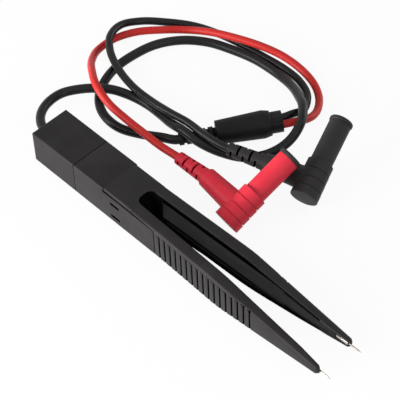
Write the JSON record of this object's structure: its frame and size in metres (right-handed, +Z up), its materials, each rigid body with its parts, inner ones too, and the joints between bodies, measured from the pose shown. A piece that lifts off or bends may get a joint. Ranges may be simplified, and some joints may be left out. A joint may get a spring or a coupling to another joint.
{
  "type": "tweezer test clip with lead set",
  "caption": "Tweezer-style test clip for surface-mount components: sprung plastic arms with needle contacts, a captive cable, a moulded Y splitter, and red and black right-angle shrouded plugs.",
  "frame": {"origin": "on the table, under the middle of the tweezers from the rear face to the needle points; the cables and what is on them are left out of it", "axes": "+X from the cable end to the needle points, +Y to the right arm, +Z up from the flat underside"},
  "size_m": [0.2193, 0.128, 0.028],
  "materials": {
    "body_plastic": "fine satin moulding",
    "contact_brass": "plain sheet",
    "nickel_plate": "bright nickel plate",
    "needle_metal": "bright gold plate",
    "black_jacket": "smooth flexible jacket",
    "red_jacket": "smooth flexible jacket",
    "splitter_plastic": "satin overmoulding",
    "red_plug_plastic": "satin overmoulding",
    "black_plug_plastic": "satin overmoulding"
  },
  "bodies": {
    "body": {"rear_cap": "body_plastic", "housing": "body_plastic", "fork_root": "body_plastic", "cable_grommet": "black_jacket", "cable_crimp": "nickel_plate", "cable_tail": "black_jacket", "left_inner_wire": "black_jacket", "right_inner_wire": "red_jacket", "main_cable": "black_jacket", "splitter_relief": "splitter_plastic", "splitter_body": "splitter_plastic", "red_lead": "red_jacket", "black_lead": "black_jacket", "red_plug_body": "red_plug_plastic", "red_plug_shroud": "red_plug_plastic", "red_plug_collar": "black_plug_plastic", "red_plug_pin": "nickel_plate", "black_plug_body": "black_plug_plastic", "black_plug_shroud": "black_plug_plastic", "black_plug_collar": "black_plug_plastic", "black_plug_pin": "nickel_plate"},
    "left_jaw": {"left_arm": "body_plastic", "left_cover": "body_plastic", "left_contact_strip": "contact_brass", "left_needle_holder": "nickel_plate", "left_needle": "needle_metal"},
    "right_jaw": {"right_arm": "body_plastic", "right_cover": "body_plastic", "right_contact_strip": "contact_brass", "right_needle_holder": "nickel_plate", "right_needle": "needle_metal"}
  },
  "joints": [
    {"name": "left_jaw_flex", "type": "hinge", "parent": "body", "child": "left_jaw", "pos_m": [-0.02566, -0.0046, 0.009], "axis": [0, 0, 1], "range_deg": [0, 4.3], "stiffness_Nm_per_rad": 1.5},
    {"name": "right_jaw_flex", "type": "hinge", "parent": "body", "child": "right_jaw", "pos_m": [-0.02566, 0.0046, 0.009], "axis": [0, 0, -1], "range_deg": [0, 4.3], "stiffness_Nm_per_rad": 1.5}
  ]
}
